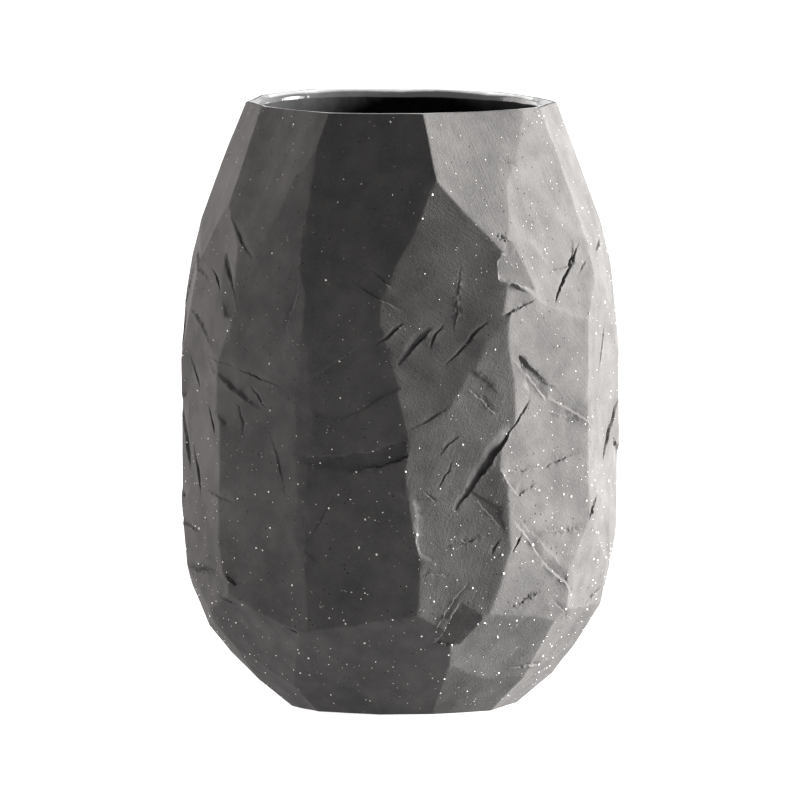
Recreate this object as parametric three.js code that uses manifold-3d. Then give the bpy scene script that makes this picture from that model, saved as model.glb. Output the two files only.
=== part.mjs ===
// A hand-carved stoneware vase: a dark, unglazed clay body whose outside is cut into flat facets
// with a knife, and a coat of glass on its inside and over its lip.
//
// Frame: +Z up, origin at the middle of the resting face, -Y towards the front.
// Azimuths are in degrees round +Z: 0 is the front, 90 the right-hand side (+X).
// Levels are shares of the height: 0 is the foot, 1 is the rim.

import * as THREE from 'three';
import { mergeVertices } from 'three/addons/utils/BufferGeometryUtils.js';
import Module from 'manifold-3d';

const wasm = await Module();
wasm.setup();

// ---- Driving dimensions, in millimetres ----

const HEIGHT = 250;
const FOOT_RADIUS = 46;
const BELLY_RADIUS = 90;
const RIM_RADIUS = 62;
const BELLY_BOTTOM = 78; // the belly is upright between these two heights
const BELLY_TOP = 148;
const FOOT_SWELL = 2.3; // exponents of the curves below and above the belly
const SHOULDER_SWELL = 1.85;

const BELLY_WALL = 9.5; // thickness of the clay before it is carved
const RIM_WALL = 4.2;
const FLOOR = 10;
const FLOOR_ROUNDING = 16; // radius between the inside floor and the wall

const GLAZE = 0.8; // thickness of the glass coat
const GAP = 0.3; // clearance between the clay and the coat

const SPARE = 7; // extra clay on the blank, all of it carved away
const ROUND_STEPS = 48; // segments round the turned inside
const PROFILE_STEPS = 12; // points along each stretch of a profile
const CORNER_STEPS = 5;
const PAST_RIM = 1; // how far a cut runs past the rim
const STROKE_SIZE = 400; // side of the block that stands for one knife stroke

// ---- Carving ----
// A stroke takes a flat off the blank. It is tangent to the turned shape at its azimuth and level,
// pushed in by bite, then swung about the vertical and tipped up or down by a few degrees.

const FRONT_STROKES = [
  // [azimuth, level, bite, swing, tip]
  // shoulder, from the left-hand side to the right
  [-102, 0.88, 2.2, 0, 0],
  [-77, 0.89, 2, 0, 0],
  [-47, 0.89, 2, 0, 2],
  [-36, 0.85, 0.5, 0, 0],
  [-12, 0.88, 2.5, -1, -2],
  [33, 0.89, 1.8, 1, 4],
  [50, 0.83, 3, 0, 0],
  [77, 0.86, 2, 0, 0],
  [104, 0.87, 2, 0, 0],
  // upper belly
  [-110, 0.69, 1.5, 0, 0],
  [-86, 0.69, 1.5, 0, 0],
  [-62, 0.69, 1.5, 0, 0],
  [-40, 0.69, 1.5, 0, 0],
  [-15, 0.69, 1.5, 0, 0],
  [12, 0.71, 1, 0, -4],
  [84, 0.69, 1.5, 0, 0],
  [110, 0.69, 1.5, 0, 0],
  // middle
  [-95, 0.47, 1.2, 0, 0],
  [-68, 0.47, 1.5, 0, 0],
  [-40, 0.47, 1.5, 0, 0],
  [-28, 0.54, -0.6, 0, 0],
  [-13, 0.52, 1.3, 0, 0],
  [17, 0.45, 1.5, 0, 0],
  [43, 0.51, 1.5, 0, 0],
  [72, 0.49, 1.5, 0, 0],
  [98, 0.49, 2, 0, 0],
  // lower belly
  [-92, 0.27, 1.5, 0, 0],
  [-66, 0.27, 1.5, 0, 0],
  [-38, 0.27, 1.5, 0, 0],
  [-11, 0.27, 2.5, 0, 0],
  [18, 0.26, 1.5, 0, 0],
  [40, 0.23, 1.5, 0, 0],
  [64, 0.24, 1.5, 0, 0],
  [88, 0.25, 2, 0, -2],
  [112, 0.26, 1.8, 0, 0],
  // chamfers above the foot
  [-106, 0.13, 0.8, 0, 0],
  [-84, 0.17, 0.8, 0, 3],
  [-80, 0.09, 0.8, 0, 0],
  [-52, 0.11, 1, 0, 0],
  [-5, 0.08, 1.5, 0, 0],
  [36, 0.11, 1.5, 0, 0],
  [64, 0.12, 1, 0, 0],
  [92, 0.14, 1.8, 0, 0],
  [-96, 0.03, 1.5, 0, -3],
  [-64, 0.035, 1.2, 0, 0],
  [-28, 0.035, 1, 0, 0],
  [6, 0.03, 0.5, 0, 0],
  [32, 0.035, 1, 0, 0],
  [72, 0.04, 1.5, 0, 0],
];

// A chip is a short stroke that stops in the clay and leaves a step at its end.
const FRONT_CHIPS = [
  // [azimuth, level, bite, swing, tip, turn, length, width]
  [31, 0.75, 0.5, -9, 0, 18, 13, 20],
  [34, 0.69, 0.5, -6, -5, -10, 15, 12],
  [16, 0.18, 1.2, -18, -3, -32, 12, 22],
  [36, 0.24, 2, -20, 0, -20, 12, 10],
];

// A gash is a slit left by the point of the knife, pointed at both ends.
const FRONT_GASHES = [
  // [azimuth, level, length, width, depth, turn]
  [54, 0.73, 36, 2.2, 3, 44],
  [18, 0.625, 26, 2, 2.5, 44],
  [26, 0.44, 58, 4.5, 4, 52],
  [-3, 0.635, 18, 2, 1.8, 38],
  [4, 0.62, 22, 4, 2, 46],
  [-74, 0.735, 32, 2.5, 2.5, -24],
  [-68, 0.645, 32, 2.5, 2.5, -31],
  [-51, 0.55, 42, 5, 3, -28],
  [-54, 0.71, 28, 4, 2.5, -55],
  [-56, 0.36, 20, 2, 2, -14],
  [-78, 0.47, 38, 2.5, 2.5, -58],
  [-70, 0.235, 30, 2.5, 2.2, 3],
  [79, 0.475, 40, 3, 3, 49],
  [62, 0.345, 18, 3, 2, 41],
  [32, 0.2, 14, 3, 2, -20],
];

// The back is carved in even courses, each one a row of strokes with a little unevenness.
const BACK_COURSES = [
  // [level, first azimuth, strokes]
  [0.89, 130, 4],
  [0.70, 136, 5],
  [0.50, 124, 5],
  [0.29, 137, 4],
  [0.13, 120, 5],
  [0.04, 112, 5],
];
const BACK_END = 232; // azimuth of the last stroke of each course
const BACK_BITE = 1.8;
const UNEVEN_BITE = 0.8; // how much the strokes of a course differ, in each direction
const UNEVEN_TURN = 5;
const UNEVEN_TIP = 2;
const UNEVEN_LEVEL = 0.02;

const BACK_GASHES = 18;
const BACK_GASH = { length: 26, width: 2.8, depth: 2.4, turn: 48, unevenSize: 0.35 };
const GASH_START = 96; // azimuth of the first gash at the back
const GASH_LOWEST = 0.22; // levels between which the gashes at the back lie
const GASH_HIGHEST = 0.78;
const GASH_SEAT = 1.5; // depth of the carved flats under the turned shape, where gashes start
const GASH_SLANT = 0.5; // how far a blade leans sideways for each millimetre of its depth
const GASH_RAISE = 2.5; // how far a blade's widest part stands out of the clay

// ---- Turned shape ----

/** Radius of the turned shape at a height, before it is carved. */
function outerRadius(height) {
  const z = THREE.MathUtils.clamp(height, 0, HEIGHT);
  if (z < BELLY_BOTTOM) {
    const share = (BELLY_BOTTOM - z) / BELLY_BOTTOM;
    return BELLY_RADIUS - (BELLY_RADIUS - FOOT_RADIUS) * share ** FOOT_SWELL;
  }
  const share = Math.max(0, z - BELLY_TOP) / (HEIGHT - BELLY_TOP);
  return BELLY_RADIUS - (BELLY_RADIUS - RIM_RADIUS) * share ** SHOULDER_SWELL;
}

/** Angle in radians by which the turned shape faces up at a height. */
function outerLean(height) {
  const below = Math.max(height - 1, 0);
  const above = Math.min(height + 1, HEIGHT);
  return Math.atan2(outerRadius(below) - outerRadius(above), above - below);
}

/** Radius at a height of the inside of the clay, or of a layer that lies inset from it. */
function innerRadius(height, inset) {
  const tapered = THREE.MathUtils.mapLinear(height, BELLY_TOP, HEIGHT, BELLY_WALL, RIM_WALL);
  const wall = Math.min(BELLY_WALL, tapered);
  return outerRadius(height) - (wall + inset) / Math.cos(outerLean(height));
}

/** Turns a closed outline of [radius, height] points into a solid. */
function turned(outline) {
  const points = outline.map(([radius, height]) => new THREE.Vector2(radius, height));
  const shape = new THREE.LatheGeometry(points, ROUND_STEPS);
  shape.rotateX(Math.PI / 2);
  return solid(shape);
}

/** Outline of the hollow, made smaller by inset all round, and taken straight up past the rim. */
function hollowOutline(inset, pastRim) {
  const corner = FLOOR_ROUNDING - inset;
  const wallStart = FLOOR + FLOOR_ROUNDING;
  const startRadius = innerRadius(wallStart, inset);
  const points = [[0, FLOOR + inset]];
  for (let i = 0; i <= CORNER_STEPS; i += 1) {
    const turn = (Math.PI / 2) * (i / CORNER_STEPS);
    points.push([startRadius - corner * (1 - Math.sin(turn)), wallStart - corner * Math.cos(turn)]);
  }
  for (let i = 1; i <= PROFILE_STEPS; i += 1) {
    const z = THREE.MathUtils.lerp(wallStart, HEIGHT, i / PROFILE_STEPS);
    points.push([innerRadius(z, inset), z]);
  }
  points.push([innerRadius(HEIGHT, inset), HEIGHT + pastRim]);
  points.push([0, HEIGHT + pastRim]);
  return points;
}

// ---- Booleans ----

/** Closed three.js geometry to a solid. */
function solid(geometry) {
  const bare = geometry.clone();
  bare.deleteAttribute('normal');
  bare.deleteAttribute('uv');
  const merged = mergeVertices(bare, 1e-4);
  return new wasm.Manifold(new wasm.Mesh({
    numProp: 3,
    vertProperties: new Float32Array(merged.attributes.position.array),
    triVerts: new Uint32Array(merged.index.array),
  }));
}

/** Solid back to a named mesh. */
function namedMesh(name, body, material) {
  const { vertProperties, triVerts } = body.getMesh();
  const geometry = new THREE.BufferGeometry();
  geometry.setAttribute('position', new THREE.BufferAttribute(vertProperties, 3));
  geometry.setIndex(new THREE.BufferAttribute(triVerts, 1));
  geometry.computeVertexNormals();
  const mesh = new THREE.Mesh(geometry, material);
  mesh.name = name;
  return mesh;
}

/** Moves a geometry whose +Z faces out to its place on the turned shape. */
function seat(geometry, azimuth, level, swing, tip) {
  const around = THREE.MathUtils.degToRad(azimuth);
  const facing = around + THREE.MathUtils.degToRad(swing);
  const height = level * HEIGHT;
  const lean = outerLean(height) + THREE.MathUtils.degToRad(tip);
  const right = new THREE.Vector3(Math.cos(facing), Math.sin(facing), 0);
  const out = new THREE.Vector3(
    Math.sin(facing) * Math.cos(lean),
    -Math.cos(facing) * Math.cos(lean),
    Math.sin(lean),
  );
  const up = new THREE.Vector3().crossVectors(out, right);
  const place = new THREE.Matrix4().makeBasis(right, up, out);
  const radius = outerRadius(height);
  place.setPosition(radius * Math.sin(around), -radius * Math.cos(around), height);
  return geometry.applyMatrix4(place);
}

/** The block of clay that a stroke or a chip takes away. */
function strokeBlock([azimuth, level, bite, swing, tip, turn = 0, length = STROKE_SIZE, width = length]) {
  const block = new THREE.BoxGeometry(length, width, STROKE_SIZE);
  block.translate(0, 0, STROKE_SIZE / 2 - bite);
  block.rotateZ(THREE.MathUtils.degToRad(turn));
  return solid(seat(block, azimuth, level, swing, tip));
}

/** The wedge of clay that a gash opens. */
function gashBlade([azimuth, level, length, width, depth, turn]) {
  const growth = (depth + GASH_RAISE) / depth;
  const blade = new THREE.OctahedronGeometry(1);
  blade.scale((length / 2) * growth, (width / 2) * growth, depth * growth);
  blade.applyMatrix4(new THREE.Matrix4().makeShear(0, 0, 0, 0, 0, -GASH_SLANT));
  blade.rotateZ(THREE.MathUtils.degToRad(turn));
  blade.translate(0, 0, GASH_RAISE - GASH_SEAT);
  return solid(seat(blade, azimuth, level, 0, 0));
}

/** Repeatable number between -1 and 1, another for each index and each kind of unevenness. */
function uneven(index, kind) {
  const indexStep = 12.9;
  const kindStep = 4.7;
  return Math.sin(index * indexStep + kind * kindStep);
}

/** Strokes of one even course at the back. */
function backCourse([level, first, count], courseIndex) {
  const spacing = (BACK_END - first) / (count - 1);
  return Array.from({ length: count }, (_, i) => {
    const index = courseIndex * count + i;
    return [
      first + i * spacing + UNEVEN_TURN * uneven(index, 1),
      level + UNEVEN_LEVEL * uneven(index, 2),
      BACK_BITE + UNEVEN_BITE * uneven(index, 3),
      UNEVEN_TURN * uneven(index, 4),
      UNEVEN_TIP * uneven(index, 5),
    ];
  });
}

/** One gash at the back; they climb it in golden-section steps, so that no two lie close. */
function backGash(_, index) {
  const goldenStep = 0.382;
  const round = (BACK_END - GASH_START) * ((index * goldenStep) % 1);
  const share = (index + 0.5) / BACK_GASHES;
  const size = 1 + BACK_GASH.unevenSize * uneven(index, 6);
  return [
    GASH_START + round,
    THREE.MathUtils.lerp(GASH_LOWEST, GASH_HIGHEST, share),
    BACK_GASH.length * size,
    BACK_GASH.width * size,
    BACK_GASH.depth,
    BACK_GASH.turn * uneven(index, 7),
  ];
}

// ---- Pieces ----

const strokes = [...FRONT_STROKES, ...BACK_COURSES.flatMap(backCourse)];
const gashes = [...FRONT_GASHES, ...Array.from({ length: BACK_GASHES }, backGash)];
const clayTop = HEIGHT - GLAZE - GAP;

/** Solid inside all the strokes, between two heights. */
function carved(bottom, top) {
  const outline = [[0, bottom]];
  for (let i = 0; i <= PROFILE_STEPS * 2; i += 1) {
    const z = THREE.MathUtils.lerp(bottom, top, i / (PROFILE_STEPS * 2));
    outline.push([outerRadius(z) + SPARE, z]);
  }
  outline.push([0, top]);
  return strokes.reduce((body, stroke) => body.subtract(strokeBlock(stroke)), turned(outline));
}

/** Clay wall and floor. */
function makeBody() {
  const cuts = [
    ...FRONT_CHIPS.map(strokeBlock),
    ...gashes.map(gashBlade),
    turned(hollowOutline(0, PAST_RIM)),
  ];
  return cuts.reduce((body, cut) => body.subtract(cut), carved(0, clayTop));
}

/** Glass coat on the inside wall, the floor and the lip. */
function makeLining() {
  const lip = carved(clayTop + GAP, HEIGHT);
  const cup = turned(hollowOutline(GAP, 0));
  return cup.add(lip).subtract(turned(hollowOutline(GAP + GLAZE, PAST_RIM)));
}

const clay = new THREE.MeshStandardMaterial({ color: 0x4a494b, roughness: 0.85, metalness: 0 });
const glass = new THREE.MeshStandardMaterial({ color: 0x0c0c0e, roughness: 0.12, metalness: 0 });

const vase = new THREE.Group();
vase.add(namedMesh('stoneware_body', makeBody(), clay));
vase.add(namedMesh('glaze_lining', makeLining(), glass));

export default vase;
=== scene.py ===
"""Stoneware vase, carved with a knife on the outside and coated with black glass on the inside.

The packed clay gives the flats that the knife left. The clay, the coat and the grains of grog are
built round them, in metres, with +Z up and -Y towards the front. Azimuths are in degrees round +Z,
0 at the front and 90 on the right-hand side, and a level is a share of the height.
"""

import logging
import math
from dataclasses import dataclass
from enum import Enum

import bpy
import numpy as np
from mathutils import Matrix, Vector


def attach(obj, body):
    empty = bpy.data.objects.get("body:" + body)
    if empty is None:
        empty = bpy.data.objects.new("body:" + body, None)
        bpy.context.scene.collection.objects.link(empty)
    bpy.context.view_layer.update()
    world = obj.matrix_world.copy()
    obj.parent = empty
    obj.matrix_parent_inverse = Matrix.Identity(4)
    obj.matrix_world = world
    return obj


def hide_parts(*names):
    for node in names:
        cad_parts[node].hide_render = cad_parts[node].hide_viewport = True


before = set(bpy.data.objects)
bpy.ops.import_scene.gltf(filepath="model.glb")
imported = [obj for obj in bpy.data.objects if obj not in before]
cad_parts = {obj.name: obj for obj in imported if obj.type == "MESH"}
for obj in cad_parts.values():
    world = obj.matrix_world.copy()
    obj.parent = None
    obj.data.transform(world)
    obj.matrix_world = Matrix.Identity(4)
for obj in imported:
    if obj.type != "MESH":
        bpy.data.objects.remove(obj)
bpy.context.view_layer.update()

LOG = logging.getLogger("vase")
MM = 0.001
Colour = tuple[float, float, float]
Pair = tuple[float, float]


# ---- Repeatable unevenness ----


def lattice(ix: np.ndarray, iy: np.ndarray, seed: int) -> np.ndarray:
    """Gives each whole-number place its own repeatable value.

    Args:
        ix: Whole numbers along the first axis.
        iy: Whole numbers along the second axis.
        seed: Chooses the pattern.

    Returns:
        Values between -1 and 1.
    """
    mixed = (ix * 374761393 + iy * 668265263 + seed * 144269504) & 0xFFFFFFFF
    mixed = ((mixed ^ (mixed >> 13)) * 1274126177) & 0xFFFFFFFF
    return ((mixed ^ (mixed >> 16)) & 0xFFFF) / 32767.5 - 1.0


def waves(x: np.ndarray, y: np.ndarray, seed: int) -> np.ndarray:
    """Smooth unevenness over a plane, with bumps about one unit apart.

    Args:
        x: Places along the first axis.
        y: Places along the second axis.
        seed: Chooses the pattern.

    Returns:
        Values between -1 and 1.
    """
    ix, iy = np.floor(x).astype(np.int64), np.floor(y).astype(np.int64)
    fx, fy = x - ix, y - iy
    fx = fx * fx * fx * (fx * (fx * 6 - 15) + 10)
    fy = fy * fy * fy * (fy * (fy * 6 - 15) + 10)
    low = lattice(ix, iy, seed) * (1 - fx) + lattice(ix + 1, iy, seed) * fx
    high = lattice(ix, iy + 1, seed) * (1 - fx) + lattice(ix + 1, iy + 1, seed) * fx
    return low * (1 - fy) + high * fy


@dataclass(frozen=True)
class Swell:
    """One band of unevenness: its height, its spacing both ways, and where its seeds start."""

    height: float
    wide: float
    tall: float
    seeds: int

    def at(self, x: np.ndarray, y: np.ndarray, seed: int) -> np.ndarray:
        """Evaluates the band over a plane."""
        return self.height * waves(x / self.wide, y / self.tall, seed + self.seeds)


def wrapped(angle: np.ndarray) -> np.ndarray:
    """Brings angles in radians to between -pi and pi."""
    return (angle + math.pi) % (2 * math.pi) - math.pi


def eased(share: np.ndarray) -> np.ndarray:
    """Smooth step from 0 to 1 as share goes from 0 to 1."""
    held = np.clip(share, 0.0, 1.0)
    return held * held * (3 - 2 * held)


def direction(azimuth: float, lift: float) -> np.ndarray:
    """Unit vector towards an azimuth and up by a lift, both in radians."""
    level = math.cos(lift)
    return np.array([math.sin(azimuth) * level, -math.cos(azimuth) * level, math.sin(lift)])


def round_axis(radius: np.ndarray, azimuth: np.ndarray, height: np.ndarray) -> np.ndarray:
    """Points round the axis, a row for each."""
    return np.stack([radius * np.sin(azimuth), -radius * np.cos(azimuth), height], axis=1)


# ---- Work on meshes ----


def read(items: bpy.types.bpy_prop_collection, name: str, width: int = 3) -> np.ndarray:
    """Reads one property of all items, such as the places of corners, a row for each."""
    values = np.empty(len(items) * width)
    items.foreach_get(name, values)
    return values.reshape(-1, width)


def place(sheet: bpy.types.Object, points: np.ndarray) -> None:
    """Moves the corners of a piece to points given in millimetres."""
    sheet.data.vertices.foreach_set("co", (points * MM).ravel())
    sheet.data.update()


def choose(piece: bpy.types.Object) -> None:
    """Makes a piece the only chosen one."""
    bpy.ops.object.select_all(action="DESELECT")
    piece.select_set(True)
    bpy.context.view_layer.objects.active = piece


# ---- Turned shape ----


@dataclass(frozen=True)
class TurnedShape:
    """The vase as it left the wheel, in millimetres."""

    height: float = 250.0
    foot_radius: float = 46.0
    belly_radius: float = 90.0
    rim_radius: float = 62.0
    belly_bottom: float = 78.0
    belly_top: float = 148.0
    foot_swell: float = 2.3
    shoulder_swell: float = 1.85
    belly_wall: float = 9.5
    rim_wall: float = 4.2
    floor: float = 10.0
    floor_rounding: float = 16.0

    def radius(self, z: np.ndarray) -> np.ndarray:
        """Outside radius at heights z."""
        z = np.clip(z, 0.0, self.height)
        low = np.clip((self.belly_bottom - z) / self.belly_bottom, 0.0, 1.0)
        high = np.clip((z - self.belly_top) / (self.height - self.belly_top), 0.0, 1.0)
        narrowed = (self.belly_radius - self.foot_radius) * low**self.foot_swell
        return (
            self.belly_radius
            - narrowed
            - (self.belly_radius - self.rim_radius) * high**self.shoulder_swell
        )

    def lean(self, z: np.ndarray) -> np.ndarray:
        """Angle in radians by which the outside faces up at heights z."""
        below, above = np.maximum(z - 1.0, 0.0), np.minimum(z + 1.0, self.height)
        return np.arctan2(self.radius(below) - self.radius(above), above - below)

    def hollow(self, z: np.ndarray, inset: float) -> np.ndarray:
        """Radius at heights z of the hollow, or of a layer that lies inset from it."""
        share = (z - self.belly_top) / (self.height - self.belly_top)
        wall = np.minimum(
            self.belly_wall, self.belly_wall + (self.rim_wall - self.belly_wall) * share
        )
        return self.radius(z) - (wall + inset) / np.cos(self.lean(z))

    def hollow_outline(self, inset: float, top: float, steps: int) -> np.ndarray:
        """Outline of the hollow from the middle of its floor up to a height.

        Args:
            inset: How far the outline lies inside the hollow of the clay.
            top: Height at which it ends.
            steps: Points up the wall.

        Returns:
            Rows of radius and height.
        """
        corner = self.floor_rounding - inset
        start = self.floor + self.floor_rounding
        start_radius = float(self.hollow(np.array(start), inset))
        turns = np.linspace(0.0, math.pi / 2, 7)
        floor = [(r, self.floor + inset) for r in np.linspace(0.0, start_radius - corner, 5)[:-1]]
        bend = [
            (start_radius - corner * (1 - math.sin(turn)), start - corner * math.cos(turn))
            for turn in turns
        ]
        heights = np.linspace(start, top, steps + 1)[1:]
        wall = list(zip(self.hollow(heights, inset), heights))
        return np.array(floor + bend + wall)


SHAPE = TurnedShape()
CLAY_TOP = 249.0


# ---- Knife work ----


@dataclass(frozen=True)
class Cut:
    """Mark where the blade dug in: a ramp that dips to a line, and a step up beyond it.

    Seen from outside, the line climbs by turn degrees towards the right. Side is 1 where the ramp
    lies to the left of the line and -1 where it lies to the right. Lengths are in millimetres.
    """

    azimuth: float
    level: float
    length: float
    turn: float
    depth: float
    ramp: float
    lip: float = 0.2
    torn: float = 0.1
    side: int = 1
    slack: float = 0.0


@dataclass(frozen=True)
class Facet:
    """Short stroke that takes a small flat off a large one and leaves a step where it stops.

    Corners are azimuths and heights in millimetres. The flat faces the azimuth facing, tips up by
    tip degrees from the turned shape, and lies bite millimetres deep at its anchor.
    """

    corners: tuple[Pair, ...]
    anchor: Pair
    facing: float
    tip: float = 0.0
    bite: float = 0.1


CUTS = (
    # shoulder and right-hand side
    Cut(54, 0.73, 35, 44, 2.4, 1.8, 0.3),
    Cut(60, 0.735, 11, 37, 0.9, 1.2),
    Cut(79, 0.765, 17, 15, 1.6, 2.0, 0.3),
    Cut(79, 0.474, 40, 49, 2.5, 3.0, 0.4),
    Cut(62, 0.344, 17, 41, 1.8, 2.5, 0.4, 0.7),
    # front, long slits
    Cut(18, 0.625, 26, 44, 1.8, 1.5, 0.15),
    Cut(26, 0.44, 58, 52, 3.4, 5.5, 0.4, 0.4),
    Cut(-3, 0.638, 16, 38, 1.8, 2.0, 0.3),
    Cut(10, 0.636, 12, 58, 1.3, 1.5),
    Cut(4, 0.619, 21, 46, 2.2, 4.5, 0.3),
    Cut(12, 0.411, 14, 54, 0.6, 1.0),
    Cut(8, 0.376, 7, -40, 0.6, 1.0),
    Cut(32, 0.293, 9, 58, 1.3, 1.5),
    Cut(26, 0.289, 7, 62, 1.1, 1.2),
    # left-hand side
    Cut(-76, 0.738, 34, -20, 1.7, 6.0, 0.4, 0.3, 1, 1.1),
    Cut(-68, 0.643, 32, -31, 1.7, 6.0, 0.4, 0.3, 1, 1.1),
    Cut(-51, 0.549, 42, -28, 2.0, 9.0, 0.4, 0.3, 1, 1.4),
    Cut(-56, 0.584, 22, -6, 1.1, 2.0),
    Cut(-41, 0.53, 13, -52, 1.1, 2.0),
    Cut(-54, 0.713, 28, -55, 1.5, 6.5, 0.3, 0.1, 1, 1.0),
    Cut(-56, 0.362, 20, -14, 1.4, 3.0),
    Cut(-41, 0.563, 27, -16, 1.0, 2.0),
    Cut(-60, 0.486, 14, -58, 1.4, 2.0),
    Cut(-47, 0.492, 14, -74, 1.2, 2.0),
    Cut(-81, 0.463, 39, -58, 1.9, 4.0, 0.5, 0.1, 1, 0.8),
    Cut(-76, 0.303, 36, -8, 1.6, 3.0, 0.4, 0.4),
    Cut(-68, 0.233, 33, 3, 2.6, 4.0, 0.6, 0.3),
    Cut(-54, 0.19, 15, -14, 1.0, 2.0),
    Cut(-31, 0.149, 9, -31, 1.0, 1.5),
    Cut(-52, 0.789, 27, -45, 1.1, 3.0, 0.2, 0.1, 1, 0.6),
    Cut(-62, 0.716, 14, -39, 1.3, 2.0),
    # laps, where the step catches the light
    Cut(-5, 0.732, 12, -39, 0.5, 2.5, 0.3),
    Cut(37, 0.564, 27, -43, 1.7, 7.0, 0.7, 0.2, 1, 0.9),
    Cut(53, 0.503, 33, -28, 1.7, 7.0, 0.6, 0.2, 1, 0.9),
    Cut(53, 0.489, 33, -19, 0.8, 3.0, 0.6, 0.3),
    Cut(34, 0.414, 21, -1, 0.7, 3.0, 0.5, 0.3),
    Cut(49, 0.426, 25, 15, 0.8, 3.0, 0.5, 0.3),
    Cut(36, 0.304, 23, -48, 1.7, 7.0, 0.6, 0.2, 1, 0.9),
    Cut(48, 0.237, 27, -36, 1.6, 7.0, 0.6, 0.2, 1, 0.9),
    Cut(50, 0.309, 29, -2, 0.6, 3.0, 0.5, 0.6),
    Cut(14, 0.191, 28, 59, 0.7, 2.5, 0.5, 0.1, -1),
    Cut(9, 0.246, 17, -1, 0.5, 3.0, 0.3, 0.2),
    Cut(50, 0.079, 20, 4, 0.9, 3.0, 0.5, 0.3),
    Cut(52, 0.175, 18, -36, 0.9, 3.0),
    # small marks between the large ones
    Cut(22, 0.53, 18, -38, 0.5, 3.0, 0.3, 0.3),
    Cut(16, 0.7, 30, 84, 0.25, 1.2, 0.25, 0.5),
    Cut(7, 0.5, 22, 28, 0.5, 4.0, 0.2),
    Cut(13, 0.46, 14, 40, 0.5, 2.5, 0.2),
    Cut(24, 0.345, 16, -50, 0.7, 5.0, 0.3),
    Cut(18, 0.3, 20, 12, 0.5, 3.5, 0.3, 0.4),
    Cut(-6, 0.7, 26, -30, 0.6, 5.0, 0.2),
    Cut(-18, 0.59, 30, 34, 0.6, 6.0, 0.2, 0.1, -1),
    Cut(-22, 0.33, 34, 60, 0.5, 6.0, 0.2),
    Cut(-30, 0.68, 24, 76, 0.6, 3.0, 0.2),
    Cut(-34, 0.42, 26, -70, 0.6, 4.0, 0.2),
    Cut(-70, 0.4, 24, -64, 1.2, 4.0, 0.3),
    Cut(-72, 0.56, 18, -50, 1.0, 3.0, 0.3),
    Cut(-86, 0.6, 30, -70, 1.4, 4.0, 0.3),
    Cut(70, 0.6, 26, 62, 0.7, 4.0, 0.3),
    Cut(66, 0.42, 18, -30, 0.7, 4.0, 0.3),
    Cut(40, 0.91, 12, -30, 0.5, 2.5, 0.3, 0.3),
    Cut(72, 0.2, 24, 30, 0.9, 5.0, 0.4, 0.3),
    # torn clay
    Cut(34, 0.683, 16, 21, 1.5, 1.5, 0.3, 0.4),
    Cut(29, 0.795, 9, -18, 1.3, 2.0, 0.3, 0.8),
    Cut(36, 0.195, 22, 22, 1.3, 3.0, 0.4, 1.0),
)

FACETS = (
    # chips beside the shoulder
    Facet(
        ((31, 198), (28, 189), (28, 182), (38.5, 177), (37.5, 187), (35, 195)),
        (33, 197), 30, -7,
    ),
    Facet(((29.5, 181), (39.5, 174), (28, 167)), (30, 180), 33, -7),
    # strokes that jog the ridge on the right of the front
    Facet(
        ((33, 150), (44, 137.5), (62.5, 116), (60.5, 100), (40, 98), (33, 92.5), (25, 107),
         (36.5, 135)),
        (44, 112), 40, 0, 0.45,
    ),
    Facet(
        ((30.5, 86), (53, 57), (62, 60), (62, 94), (40, 98), (33, 92.5)),
        (54, 86), 43, -1, 0.3,
    ),
    Facet(
        ((17, 148), (24, 140), (30, 128), (27, 116), (12, 98), (6, 120), (8, 140)),
        (16, 120), 19, 0, 0.05,
    ),
    Facet(((4, 92), (18, 97), (27, 88), (29, 70), (16, 64), (5, 70)), (15, 80), 16, 1, 0.05),
    # strokes across the dark front
    Facet(
        ((-28, 196), (-12, 204), (0, 196), (0, 178), (-14, 170), (-28, 178)),
        (-14, 188), -14, 2, 0.25,
    ),
    Facet(
        ((-30, 160), (-12, 170), (4, 164), (2, 140), (-16, 124), (-30, 132)),
        (-14, 148), -12, 0, 0.35,
    ),
    Facet(
        ((-27, 100), (-8, 104), (3, 92), (3, 66), (-14, 58), (-26, 70)),
        (-12, 84), -12, -2, 0.3,
    ),
    Facet(
        ((-30.0, 108.8), (-21.1, 105.2), (-11.7, 104.3), (-5.0, 105.6), (1.6, 110.6),
         (1.3, 116.4), (-5.0, 113.1), (-11.7, 110.9), (-21.1, 110.1)),
        (-12, 101.5), -11, 8.5, 0.0,
    ),
    # strokes on the left
    Facet(
        ((-62, 150), (-48, 160), (-36, 150), (-38, 128), (-52, 120), (-62, 130)),
        (-50, 140), -46, 0, 0.4,
    ),
    Facet(
        ((-60, 92), (-46, 98), (-34, 86), (-36, 62), (-50, 54), (-60, 66)),
        (-47, 76), -44, -2, 0.35,
    ),
    Facet(
        ((-90, 120), (-78, 132), (-68, 120), (-70, 96), (-80, 86), (-90, 96)),
        (-79, 108), -78, 0, 0.4,
    ),
    # strokes on the right
    Facet(
        ((66, 190), (78, 198), (90, 186), (88, 164), (74, 156), (64, 168)),
        (77, 176), 76, 0, 0.4,
    ),
    Facet(
        ((68, 104), (80, 112), (92, 100), (90, 74), (76, 66), (66, 80)),
        (79, 90), 80, 0, 0.4,
    ),
    Facet(
        ((44, 210), (54, 216), (62, 204), (58, 186), (48, 184), (42, 196)),
        (52, 200), 50, -2, 0.2,
    ),
    # low on the right of the front
    Facet(((19.5, 57), (22, 53), (22.5, 39), (19, 32), (10.5, 33)), (22, 45), 9),
    # wedge on the left
    Facet(
        ((-58, 190), (-58.5, 178), (-57, 170), (-54.5, 164), (-48, 166), (-53, 180)),
        (-58, 178), -50,
    ),
)


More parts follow.
